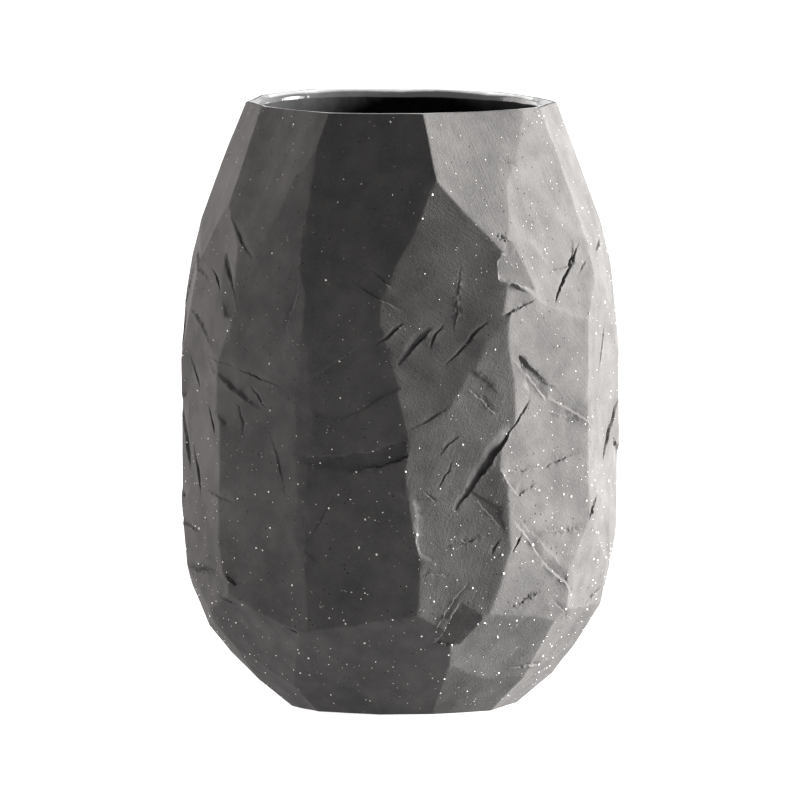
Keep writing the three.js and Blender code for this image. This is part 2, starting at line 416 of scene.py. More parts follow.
@dataclass(frozen=True)
class FlatTurn:
    """A large flat swung a few degrees about a hinge on it.

    The flat is the one found at (azimuth, height). It turns by side degrees round the vase and
    nods by nod degrees upwards.
    """

    at: Pair
    hinge: Pair
    side: float
    nod: float = 0.0


TURNS = (FlatTurn((14, 172), (30, 165), -1.5, 0.4),)


@dataclass(frozen=True)
class BackCuts:
    """Cuts that climb the unseen back in golden-section steps, so that no two lie close."""

    count: int = 44
    first: float = 90.0
    last: float = 270.0
    lowest: float = 0.12
    highest: float = 0.84
    seed: int = 5

    def make(self) -> list[Cut]:
        """Gives the cuts of the back, of the same kinds as those of the front."""
        draw = np.random.default_rng(self.seed)
        golden = 0.382
        cuts = []
        for index in range(self.count):
            share = (index + 0.5) / self.count
            deep = draw.random() < 0.55
            lean = draw.uniform(20.0, 60.0) * (1 if draw.random() < 0.5 else -1)
            cuts.append(
                Cut(
                    azimuth=self.first + (self.last - self.first) * (index * golden % 1.0),
                    level=self.lowest + (self.highest - self.lowest) * share,
                    length=draw.uniform(12.0, 40.0),
                    turn=lean,
                    depth=draw.uniform(1.3, 2.6) if deep else draw.uniform(0.5, 1.1),
                    ramp=draw.uniform(1.5, 4.5),
                    lip=draw.uniform(0.2, 0.6),
                    torn=draw.uniform(0.05, 0.6),
                    side=1 if draw.random() < 0.7 else -1,
                )
            )
        return cuts


@dataclass(frozen=True)
class BackFacets:
    """Small flats scattered over the unseen back."""

    count: int = 15
    first: float = 104.0
    last: float = 256.0
    lowest: float = 40.0
    highest: float = 212.0
    seed: int = 9

    def make(self) -> list[Facet]:
        """Gives uneven six-sided flats in golden-section steps."""
        draw = np.random.default_rng(self.seed)
        golden = 0.618
        facets = []
        for index in range(self.count):
            azimuth = self.first + (self.last - self.first) * (index * golden % 1.0)
            height = self.lowest + (self.highest - self.lowest) * (index + 0.5) / self.count
            wide, tall = draw.uniform(8.0, 14.0), draw.uniform(14.0, 24.0)
            turns = np.radians(np.arange(0, 360, 60) + draw.uniform(-18.0, 18.0, 6))
            stretch = draw.uniform(0.75, 1.15, 6)
            corners = tuple(
                (azimuth + wide * r * math.cos(a), height + tall * r * math.sin(a))
                for a, r in zip(turns, stretch)
            )
            facing = azimuth + draw.uniform(-4.0, 4.0)
            tip, bite = draw.uniform(-3.0, 3.0), draw.uniform(0.3, 0.8)
            facets.append(Facet(corners, (azimuth, height), facing, tip, bite))
        return facets


class KnifeWork:
    """The carved outside: flats read back from the packed clay, and the marks upon them.

    The first five numbers tell a flat from the rest of the mesh: how level a face may be, how near
    the axis, and how alike, how far apart and how proud planes may be. The others shape the
    surface: how softly flats meet, how far off a flat still counts, how sharp a fold wears fully
    and how wide, how deep cuts go for their nominal depth, how steeply their ramps dip, and how
    far past its ramp a cut still counts. FAR stands for a flat that a point doesn't face.
    """

    LEVEL = 0.98
    INNERMOST = 20.0
    ALIKE = 0.99998
    APART = 0.1
    PROUD = 0.05
    SOFTNESS = 0.07
    REACH = 1.6
    SHARP_FOLD = 0.06
    RIDGE_WIDTH = 0.2
    CUT_DEPTH = 0.72
    CUT_DIP = 1.4
    CUT_MARGIN = 4.0
    FAR = 500.0
    FLAT_SWELLS = (
        Swell(0.5, 26.0, 32.0, 0),
        Swell(0.2, 10.0, 22.0, 200),
        Swell(0.03, 2.4, 30.0, 400),
    )
    FACET_SWELL = Swell(0.12, 9.0, 12.0, 720)
    FACET_EDGE = (Swell(0.8, 6.0, 6.0, 700), Swell(0.3, 1.8, 1.8, 740))

    def __init__(self, clay: bpy.types.Object) -> None:
        """Reads the flats from the clay of the frame."""
        self.normals, self.offsets = self.read_flats(clay)
        self.azimuths = np.arctan2(self.normals[:, 0], -self.normals[:, 1])
        draw = np.random.default_rng(11)
        self.drags = draw.uniform(-1.1, 1.1, len(self.offsets))
        for turn in TURNS:
            self.swing(turn)
        self.cuts = list(CUTS) + BackCuts().make()
        self.facets = list(FACETS) + BackFacets().make()

    def swing(self, turn: FlatTurn) -> None:
        """Swings one flat about its hinge."""
        at = np.radians([turn.at[0], turn.hinge[0]])
        radius, winner, _ = self.carved(at, np.array([turn.at[1], turn.hinge[1]], dtype=float))
        index = int(winner[0])
        out = float(radius[1])
        hinge = np.array([out * math.sin(at[1]), -out * math.cos(at[1]), turn.hinge[1]])
        x, y, z = self.normals[index]
        side, nod = math.radians(turn.side), math.radians(turn.nod)
        level = math.hypot(x, y)
        heading = math.atan2(x, -y) + side
        normal = direction(heading, math.atan2(z, level) + nod)
        self.normals[index] = normal
        self.offsets[index] = float(normal @ hinge)
        self.azimuths[index] = heading

    @classmethod
    def read_flats(cls, clay: bpy.types.Object) -> tuple[np.ndarray, np.ndarray]:
        """Finds the planes that the knife left.

        Args:
            clay: The clay of the frame.

        Returns:
            Unit normals, and distances from the origin in millimetres.
        """
        mesh = clay.data
        corners = read(mesh.vertices, "co") / MM
        normals = read(mesh.polygons, "normal")
        centres = read(mesh.polygons, "center") / MM
        areas = read(mesh.polygons, "area", 1)[:, 0]
        offsets = (normals * centres).sum(axis=1)
        found: list[tuple[np.ndarray, float]] = []
        for index in np.argsort(-areas):
            if areas[index] < MM * MM:
                break
            normal, offset = normals[index], offsets[index]
            if abs(normal[2]) > cls.LEVEL or offset < cls.INNERMOST:
                continue
            if any(normal @ n > cls.ALIKE and abs(offset - d) < cls.APART for n, d in found):
                continue
            if (corners @ normal).max() > offset + cls.PROUD:
                continue
            found.append((normal.copy(), float(offset)))
        return np.array([n for n, _ in found]), np.array([d for _, d in found])

    def flat_wave(self, index: int, across: np.ndarray, up: np.ndarray) -> np.ndarray:
        """How far the surface of one flat wanders from its plane, in millimetres."""
        drag = self.drags[index]
        along = across * math.sin(drag) + up * math.cos(drag)
        aside = across * math.cos(drag) - up * math.sin(drag)
        broad, middling, fine = self.FLAT_SWELLS
        return (
            broad.at(across, up, index)
            + middling.at(aside, along, index)
            + fine.at(aside, along, index)
        )

    def carved(
        self, azimuth: np.ndarray, z: np.ndarray
    ) -> tuple[np.ndarray, np.ndarray, np.ndarray]:
        """Evaluates the flats.

        Args:
            azimuth: Azimuths in radians.
            z: Heights in millimetres.

        Returns:
            Radius, index of the flat that shapes each point, and closeness to a sharp ridge.
        """
        towards = np.stack([np.sin(azimuth), -np.cos(azimuth)], axis=1)
        bare = np.full((len(self.offsets), len(z)), self.FAR, dtype=np.float32)
        for index, (normal, offset) in enumerate(zip(self.normals, self.offsets)):
            facing = towards @ normal[:2]
            radius = (offset - normal[2] * z) / np.maximum(facing, 0.05)
            bare[index] = np.where(facing > 0.1, radius, self.FAR)
        nearest = bare.min(axis=0).astype(float)
        total = np.zeros(len(z))
        best = np.full(len(z), self.FAR)
        second = np.full(len(z), self.FAR)
        winner = np.zeros(len(z), dtype=np.int64)
        runner = np.zeros(len(z), dtype=np.int64)
        for index in range(len(self.offsets)):
            near = np.nonzero(bare[index] < nearest + self.REACH)[0]
            if not len(near):
                continue
            across = SHAPE.belly_radius * wrapped(azimuth[near] - self.azimuths[index])
            radius = bare[index][near] + self.flat_wave(index, across, z[near])
            total[near] += np.exp(-(radius - nearest[near]) / self.SOFTNESS)
            closer = radius < best[near]
            runner[near] = np.where(
                closer, winner[near], np.where(radius < second[near], index, runner[near])
            )
            second[near] = np.where(closer, best[near], np.minimum(second[near], radius))
            winner[near] = np.where(closer, index, winner[near])
            best[near] = np.minimum(best[near], radius)
        fold = 1 - (self.normals[winner] * self.normals[runner]).sum(axis=1)
        sharp = np.clip(fold / self.SHARP_FOLD, 0.0, 1.0)
        ridge = sharp * np.exp((best - second) / self.RIDGE_WIDTH)
        return nearest - self.SOFTNESS * np.log(total), winner, ridge

    @staticmethod
    def around(
        mark: Cut, azimuth: np.ndarray, z: np.ndarray
    ) -> tuple[np.ndarray, np.ndarray]:
        """Places points in a mark's own plane, along it and to its left, in millimetres."""
        height = mark.level * SHAPE.height
        across = float(SHAPE.radius(np.array(height))) * wrapped(
            azimuth - math.radians(mark.azimuth)
        )
        up = (z - height) / math.cos(float(SHAPE.lean(np.array(height))))
        turn = math.radians(mark.turn)
        along = across * math.cos(turn) + up * math.sin(turn)
        aside = up * math.cos(turn) - across * math.sin(turn)
        return along, aside

    @staticmethod
    def inside(corners: np.ndarray, x: np.ndarray, y: np.ndarray) -> np.ndarray:
        """Measures how far points lie inside an outline; outside, the distance is negative."""
        nearest = np.full(len(x), 1e9)
        crossings = np.zeros(len(x), dtype=bool)
        for (ax, ay), (bx, by) in zip(corners, np.roll(corners, -1, axis=0)):
            ex, ey = bx - ax, by - ay
            share = np.clip(((x - ax) * ex + (y - ay) * ey) / (ex * ex + ey * ey), 0, 1)
            nearest = np.minimum(nearest, np.hypot(x - ax - share * ex, y - ay - share * ey))
            straddles = (ay > y) != (by > y)
            level_run = ey if abs(ey) > 1e-9 else 1e-9
            crossings ^= straddles & (x < ax + (y - ay) * ex / level_run)
        return np.where(crossings, nearest, -nearest)

    def faceted(self, radius: np.ndarray, azimuth: np.ndarray, z: np.ndarray) -> np.ndarray:
        """Takes the small flats off the large ones.

        Args:
            radius: Radius of the large flats, in millimetres.
            azimuth: Azimuths in radians.
            z: Heights in millimetres.

        Returns:
            The radius after these strokes.
        """
        radius = radius.copy()
        for seed, facet in enumerate(self.facets):
            corners = np.array(facet.corners)
            middle = corners.mean(axis=0)
            height = facet.anchor[1]
            seat = float(SHAPE.radius(np.array(middle[1])))
            corners = np.stack(
                [seat * np.radians(corners[:, 0] - middle[0]), corners[:, 1] - middle[1]], axis=1
            )
            across = seat * wrapped(azimuth - math.radians(middle[0]))
            up = z - middle[1]
            reach = np.abs(corners).max(axis=0) + 3.0
            near = np.nonzero((np.abs(across) < reach[0]) & (np.abs(up) < reach[1]))[0]
            if not len(near):
                continue
            facing = math.radians(facet.facing)
            lean = float(SHAPE.lean(np.array(height))) + math.radians(facet.tip)
            normal = direction(facing, lean)
            anchor = np.array([math.radians(facet.anchor[0])])
            there = float(self.carved(anchor, np.array([height]))[0][0])
            place = np.array([there * math.sin(anchor[0]), -there * math.cos(anchor[0]), height])
            offset = normal @ place - facet.bite
            towards = np.stack([np.sin(azimuth[near]), -np.cos(azimuth[near])], axis=1)
            plane = (offset - normal[2] * z[near]) / (towards @ normal[:2])
            x, y = across[near], up[near]
            plane = plane + self.FACET_SWELL.at(x, y, seed)
            wander = self.FACET_EDGE[0].at(x, y, seed) + self.FACET_EDGE[1].at(x, y, seed)
            held = eased((self.inside(corners, x, y) + wander + 0.3) / 0.6)
            lowered = np.minimum(radius[near], plane)
            radius[near] += (lowered - radius[near]) * held
        return radius

    def cut_shape(
        self, cut: Cut, seed: int, s: np.ndarray, t: np.ndarray
    ) -> tuple[np.ndarray, np.ndarray]:
        """Shapes one cut: a tapering ramp, a steep wall beyond its line, and a raised lip.

        Args:
            cut: The cut.
            seed: Chooses its unevenness.
            s: Places along its line, from its middle, in millimetres.
            t: Places across its line, above 0 on the ramp.

        Returns:
            How far the surface stands out, and the places across the wandering line.
        """

        def uneven(spacing: float, band: int) -> np.ndarray:
            return waves(s / spacing, s * 0 + seed, band)

        t = t + 0.55 * uneven(6.0, 31) + 0.25 * uneven(1.7, 32)
        share = np.clip(s / cut.length + 0.5, 0.0, 1.0)
        peak = 0.5 + 0.22 * float(lattice(np.array([seed]), np.array([3]), 33)[0])
        taper = np.minimum(share / peak, (1 - share) / (1 - peak)) ** 0.75
        ragged = 0.7 + 0.6 * uneven(2.6, 34)
        depth = self.CUT_DEPTH * cut.depth * taper * (0.9 + 0.25 * uneven(4.0, 35))
        ramp = np.maximum(cut.ramp * (0.25 + 0.75 * taper), 0.4)
        wall = 0.3 + 0.08 * cut.depth + cut.slack
        dip = -depth * np.clip(1 - t / ramp, 0, 1) ** self.CUT_DIP
        step = -depth + (depth + cut.lip * taper * ragged) * eased(-t / wall)
        lip = cut.lip * taper * ragged * np.exp(-np.clip(-t - wall, 0, None) / 0.9)
        shape = np.where(t > 0, dip, np.where(t > -wall, step, lip))
        rough = waves(s / 1.1, t / 1.1, seed + 40) + 0.6 * waves(s / 0.55, t / 0.55, seed + 41)
        shape += cut.torn * 0.5 * rough * taper * np.exp(-((t / 1.6) ** 2))
        return shape, t

    def cut_relief(self, azimuth: np.ndarray, z: np.ndarray) -> tuple[np.ndarray, np.ndarray]:
        """Works out the cuts.

        Args:
            azimuth: Azimuths in radians.
            z: Heights in millimetres.

        Returns:
            How far the surface stands out, in millimetres, and how deep in a cut it lies, 0 to 1,
            which sets the painted shade in cuts.
        """
        relief = np.zeros(len(z))
        cut_shade_share = np.zeros(len(z))
        for seed, cut in enumerate(self.cuts):
            along, aside = self.around(cut, azimuth, z)
            near = np.nonzero(
                (np.abs(along) < cut.length / 2) & (np.abs(aside) < cut.ramp + self.CUT_MARGIN)
            )[0]
            if not len(near):
                continue
            t = aside[near] * cut.side
            shape, t = self.cut_shape(cut, seed, along[near], t)
            relief[near] += shape
            # painted shade: share of the shade colour, strongest at the line of the cut
            inner = np.clip(-shape / 1.2, 0, 1) * np.exp(-np.clip(t, 0, None) / 1.2)
            cut_shade_share[near] = np.maximum(cut_shade_share[near], inner)
        return relief, cut_shade_share

    def surface(self, azimuth: np.ndarray, z: np.ndarray) -> dict[str, np.ndarray]:
        """Evaluates the finished outside.

        Args:
            azimuth: Azimuths in radians.
            z: Heights in millimetres.

        Returns:
            Points in millimetres, and for each one its flat, its closeness to a ridge and its
            depth in a cut, which sets the painted shade in cuts.
        """
        radius, winner, ridge = self.carved(azimuth, z)
        radius = self.faceted(radius, azimuth, z)
        relief, deep = self.cut_relief(azimuth, z)
        lean = SHAPE.lean(z)
        radius = radius + relief * np.cos(lean)
        points = round_axis(radius, azimuth, z + relief * np.sin(lean))
        return {"points": points, "flat": winner, "ridge": ridge, "deep": deep}

    def near_cut(self, azimuth: np.ndarray, z: np.ndarray) -> np.ndarray:
        """Says which points lie where a cut needs a finer sheet."""
        close = np.zeros(len(z), dtype=bool)
        for cut in self.cuts:
            along, aside = self.around(cut, azimuth, z)
            t = aside * cut.side
            close |= (np.abs(along) < cut.length / 2 + 1) & (t > -3.0) & (t < min(cut.ramp, 3.0))
        return close


# ---- Rolled sheets ----


def rim_lift(azimuth: np.ndarray, z: np.ndarray) -> np.ndarray:
    """Height in millimetres by which the rim wanders from level, fading out below it."""
    fade_start, fade_height = 225.0, 24.0
    wave = (
        0.35
        + 0.8 * np.cos(azimuth - 3.5)
        + 0.22 * np.sin(2 * azimuth + 0.4)
        + 0.14 * np.sin(5 * azimuth + 1.1)
        + 0.08 * np.sin(9 * azimuth)
    )
    return wave * eased((z - fade_start) / fade_height)


@dataclass
class RolledSheet:
    """A closed sheet whose rows go from one pole to the other round the vase.

    Each row has a height, the radius of its inner guide, and a share that says how far it lies
    from that guide towards the carved outside.
    """

    name: str
    columns: int
    heights: np.ndarray
    guides: np.ndarray
    shares: np.ndarray

    def spread(self) -> bpy.types.Object:
        """Adds the sheet, flat, with columns across and rows up."""
        bpy.ops.object.select_all(action="DESELECT")
        rows = len(self.heights) - 1
        bpy.ops.mesh.primitive_grid_add(x_subdivisions=self.columns, y_subdivisions=rows, size=2.0)
        sheet = bpy.context.object
        sheet.name = sheet.data.name = self.name
        return sheet

    def read(self, sheet: bpy.types.Object) -> tuple[np.ndarray, ...]:
        """Reads where each corner of the spread sheet belongs.

        Args:
            sheet: The flat sheet.

        Returns:
            Azimuths in radians, then heights, guides and shares.
        """
        flat = read(sheet.data.vertices, "co")
        azimuth = flat[:, 0] * math.pi
        row = (flat[:, 1] + 1) / 2 * (len(self.heights) - 1)
        index = np.arange(len(self.heights))
        return (
            azimuth,
            np.interp(row, index, self.heights),
            np.interp(row, index, self.guides),
            np.interp(row, index, self.shares),
        )

    @staticmethod
    def close(sheet: bpy.types.Object) -> None:
        """Joins the two edges of the rolled sheet and gathers its poles."""
        choose(sheet)
        bpy.ops.object.mode_set(mode="EDIT")
        bpy.ops.mesh.select_all(action="SELECT")
        bpy.ops.mesh.remove_doubles(threshold=0.00002)
        bpy.ops.mesh.normals_make_consistent(inside=False)
        bpy.ops.object.mode_set(mode="OBJECT")


# ---- Finishes ----


class Grain(Enum):
    """How coarse an unevenness of colour or surface is, in bumps per metre."""

    CLOUD = 38.0
    BLOTCH = 150.0
    SAND = 900.0
    DUST = 2600.0


class NodeBench:
    """Lays out the nodes of one material."""

    def __init__(self, name: str) -> None:
        """Starts a material with a bare shader."""
        self.material = bpy.data.materials.new(name)
        self.material.use_nodes = True
        self.tree = self.material.node_tree
        self.shader = next(n for n in self.tree.nodes if n.type == "BSDF_PRINCIPLED")
        self.object_place = self.add("ShaderNodeTexCoord").outputs["Object"]

    def add(self, kind: str, **settings: object) -> bpy.types.Node:
        """Adds a node and sets its properties."""
        node = self.tree.nodes.new(kind)
        for key, value in settings.items():
            setattr(node, key, value)
        return node

    def link(self, source: bpy.types.NodeSocket, target: bpy.types.NodeSocket) -> None:
        """Joins two sockets."""
        self.tree.links.new(source, target)

    def noise(
        self, scale: float, detail: float = 3.0, where: bpy.types.NodeSocket | None = None
    ) -> bpy.types.NodeSocket:
        """Adds smooth noise and gives its value."""
        node = self.add("ShaderNodeTexNoise")
        node.inputs["Scale"].default_value = scale
        node.inputs["Detail"].default_value = detail
        self.link(where or self.object_place, node.inputs["Vector"])
        return node.outputs["Fac"]

    def ramp(
        self, value: bpy.types.NodeSocket, low: float, high: float, start: float, end: float
    ) -> bpy.types.NodeSocket:
        """Maps a value from one span to another, held at the ends."""
        node = self.add("ShaderNodeMapRange", clamp=True)
        self.link(value, node.inputs["Value"])
        spans = {"From Min": low, "From Max": high, "To Min": start, "To Max": end}
        for key, number in spans.items():
            node.inputs[key].default_value = number
        return node.outputs["Result"]

    def maths(
        self,
        operation: str,
        first: bpy.types.NodeSocket | float,
        second: bpy.types.NodeSocket | float,
    ) -> bpy.types.NodeSocket:
        """Adds one step of arithmetic."""
        node = self.add("ShaderNodeMath", operation=operation)
        for socket, given in zip(node.inputs, (first, second)):
            if isinstance(given, (int, float)):
                socket.default_value = given
            else:
                self.link(given, socket)
        return node.outputs["Value"]

    def blend(
        self,
        share: bpy.types.NodeSocket,
        first: bpy.types.NodeSocket | Colour,
        second: bpy.types.NodeSocket | Colour,
    ) -> bpy.types.NodeSocket:
        """Mixes two colours by a share."""
        node = self.add("ShaderNodeMix", data_type="RGBA")
        self.link(share, node.inputs["Factor"])
        for socket, given in ((node.inputs[6], first), (node.inputs[7], second)):
            if isinstance(given, tuple):
                socket.default_value = (*given, 1.0)
            else:
                self.link(given, socket)
        return node.outputs[2]

    def attribute(self, name: str) -> bpy.types.NodeSocket:
        """Reads a value that is kept on the piece."""
        return self.add("ShaderNodeAttribute", attribute_name=name).outputs["Fac"]

    def bump(
        self, height: bpy.types.NodeSocket, depth: float, under: bpy.types.NodeSocket | None = None
    ) -> bpy.types.NodeSocket:
        """Adds relief of a depth in metres on top of what lies under it."""
        node = self.add("ShaderNodeBump")
        node.inputs["Distance"].default_value = depth
        self.link(height, node.inputs["Height"])
        if under is not None:
            self.link(under, node.inputs["Normal"])
        return node.outputs["Normal"]


@dataclass(frozen=True)
class BareClay:
    """Charcoal stoneware, fired without glaze."""

    dark: Colour = (0.044, 0.0425, 0.0425)
    light: Colour = (0.071, 0.0685, 0.068)
    worn: Colour = (0.095, 0.092, 0.09)
    # shade is painted shade: the dark colour laid deep in cuts and in the pits
    shade: Colour = (0.03, 0.029, 0.029)
    pale: Colour = (0.25, 0.24, 0.22)
    roughness: float = 0.9
    roughest: float = 0.97
    specular: float = 0.08
    cloudiness: float = 0.5
    blotchiness: float = 0.3
    sandiness: float = 0.2
    # shading is how much painted shade the deepest part of a cut gets
    shading: float = 0.1
    specks: float = 480.0
    speck_core: float = 0.12
    speck_edge: float = 0.19
    speck_rarity: float = 0.86
    speck_strength: float = 0.8
    drag_scale: float = 1.1
    drag_stretch: float = 0.035
    drag_depth: float = 0.00009
    sand_depth: float = 0.00013
    dust_depth: float = 0.00014
    speck_depth: float = 0.00035

    def make(self) -> bpy.types.Material:
        """Builds the material."""
        bench = NodeBench("bare_clay")
        shader = bench.shader
        cloud = bench.noise(Grain.CLOUD.value, 4.0)
        blotch = bench.noise(Grain.BLOTCH.value, 5.0)
        sand = bench.noise(Grain.SAND.value, 3.0)
        dust = bench.noise(Grain.DUST.value, 2.0)
        pale, shaded_pits = self.scatter(bench)
        colour = self.paint(bench, (cloud, blotch, sand, dust))
        colour = bench.blend(pale, colour, self.pale)
        # painted shade in the pits
        colour = bench.blend(shaded_pits, colour, self.shade)
        bench.link(colour, shader.inputs["Base Color"])
        rough = bench.ramp(sand, 0.3, 0.7, self.roughness - 0.06, self.roughest)
        bench.link(rough, shader.inputs["Roughness"])
        shader.inputs["Specular IOR Level"].default_value = self.specular
        relief = bench.bump(self.drag(bench), self.drag_depth)
        relief = bench.bump(sand, self.sand_depth, relief)
        relief = bench.bump(dust, self.dust_depth, relief)
        relief = bench.bump(bench.maths("SUBTRACT", pale, shaded_pits), self.speck_depth, relief)
        bench.link(relief, shader.inputs["Normal"])
        return bench.material

    def paint(
        self, bench: NodeBench, grains: tuple[bpy.types.NodeSocket, ...]
    ) -> bpy.types.NodeSocket:
        """Mixes the colour of the clay, worn pale on ridges, with painted shade deep in cuts.

        Args:
            bench: The nodes to add to.
            grains: Cloud, blotch, sand and dust.

        Returns:
            The colour.
        """
        cloud, blotch, sand, dust = grains
        clouds = bench.maths("MULTIPLY", cloud, self.cloudiness)
        blotches = bench.maths("MULTIPLY", blotch, self.blotchiness)
        uneven = bench.maths("ADD", clouds, blotches)
        uneven = bench.maths("ADD", uneven, bench.maths("MULTIPLY", sand, self.sandiness))
        colour = bench.blend(bench.ramp(uneven, 0.36, 0.64, 0.0, 1.0), self.dark, self.light)
        colour = bench.blend(bench.ramp(dust, 0.62, 0.74, 0.0, 0.45), colour, self.worn)
        patchy = bench.ramp(blotch, 0.35, 0.7, 0.1, 0.5)
        wear = bench.maths("MULTIPLY", bench.attribute("ridge"), patchy)
        colour = bench.blend(wear, colour, self.worn)
        # painted shade: darkens the clay towards the shade colour deep in cuts
        shaded = bench.ramp(bench.attribute("deep"), 0.1, 1.0, 0.0, self.shading)
        return bench.blend(shaded, colour, self.shade)

    def scatter(self, bench: NodeBench) -> tuple[bpy.types.NodeSocket, bpy.types.NodeSocket]:
        """Scatters fine specks, and gives the strengths of the pale ones and of the pits, which
        are dented and painted in the shade colour.
        """
        cells = bench.add("ShaderNodeTexVoronoi", feature="F1")
        cells.inputs["Scale"].default_value = self.specks
        bench.link(bench.object_place, cells.inputs["Vector"])
        dots = bench.ramp(cells.outputs["Distance"], self.speck_core, self.speck_edge, 1.0, 0.0)
        chosen = bench.add("ShaderNodeSeparateColor")
        bench.link(cells.outputs["Color"], chosen.inputs["Color"])
        low, high = self.speck_rarity, self.speck_rarity + 0.02
        pale = bench.ramp(chosen.outputs["Red"], low, high, 0.0, self.speck_strength)
        shaded_pits = bench.ramp(chosen.outputs["Green"], low, high, 0.0, 1.0)
        return bench.maths("MULTIPLY", dots, pale), bench.maths("MULTIPLY", dots, shaded_pits)

    def drag(self, bench: NodeBench) -> bpy.types.NodeSocket:
        """Gives the fine lines that the blade drew along each flat."""
        knife = bench.add("ShaderNodeUVMap", uv_map="knife")
        stretch = bench.add("ShaderNodeMapping")
        stretch.inputs["Scale"].default_value = (1.0, self.drag_stretch, 1.0)
        bench.link(knife.outputs["UV"], stretch.inputs["Vector"])
        return bench.noise(self.drag_scale, 3.0, stretch.outputs["Vector"])


@dataclass(frozen=True)
class BlackGlass:
    """Glossy black glaze."""

    colour: Colour = (0.02, 0.02, 0.0205)
    thinner: float = 1.5
    roughness: float = 0.07
    coat: float = 0.6
    coat_roughness: float = 0.04
    clouds: float = 60.0
    smears: float = 220.0
    relief: float = 0.0012

    def make(self) -> bpy.types.Material:
        """Builds the material."""
        bench = NodeBench("black_glass")
        shader = bench.shader
        cloud = bench.noise(self.clouds, 3.0)
        thin = tuple(self.thinner * c for c in self.colour)
        colour = bench.blend(bench.ramp(cloud, 0.5, 0.75, 0.0, 1.0), self.colour, thin)
        bench.link(colour, shader.inputs["Base Color"])
        low, high = self.roughness - 0.02, self.roughness + 0.06
        smeared = bench.ramp(bench.noise(self.smears), 0.3, 0.7, low, high)
        bench.link(smeared, shader.inputs["Roughness"])
        shader.inputs["Coat Weight"].default_value = self.coat
        shader.inputs["Coat Roughness"].default_value = self.coat_roughness
        bench.link(bench.bump(cloud, self.relief), shader.inputs["Normal"])
        return bench.material


@dataclass(frozen=True)
class PaleGrog:
    """Fired grains of cream-white clay."""

    colour: Colour = (0.92, 0.9, 0.85)
    dull: Colour = (0.42, 0.39, 0.35)
    patches: float = 130.0
    grit: float = 1500.0
    pores: float = 3000.0
    pore_depth: float = 0.0001

    def make(self) -> bpy.types.Material:
        """Builds the material."""
        bench = NodeBench("pale_grog")
        shader = bench.shader
        dulled = bench.ramp(bench.noise(self.patches), 0.5, 0.7, 0.0, 1.0)
        bench.link(bench.blend(dulled, self.colour, self.dull), shader.inputs["Base Color"])
        rough = bench.ramp(bench.noise(self.grit), 0.3, 0.7, 0.7, 0.95)
        bench.link(rough, shader.inputs["Roughness"])
        bench.link(bench.bump(bench.noise(self.pores), self.pore_depth), shader.inputs["Normal"])
        return bench.material


# ---- Pieces ----


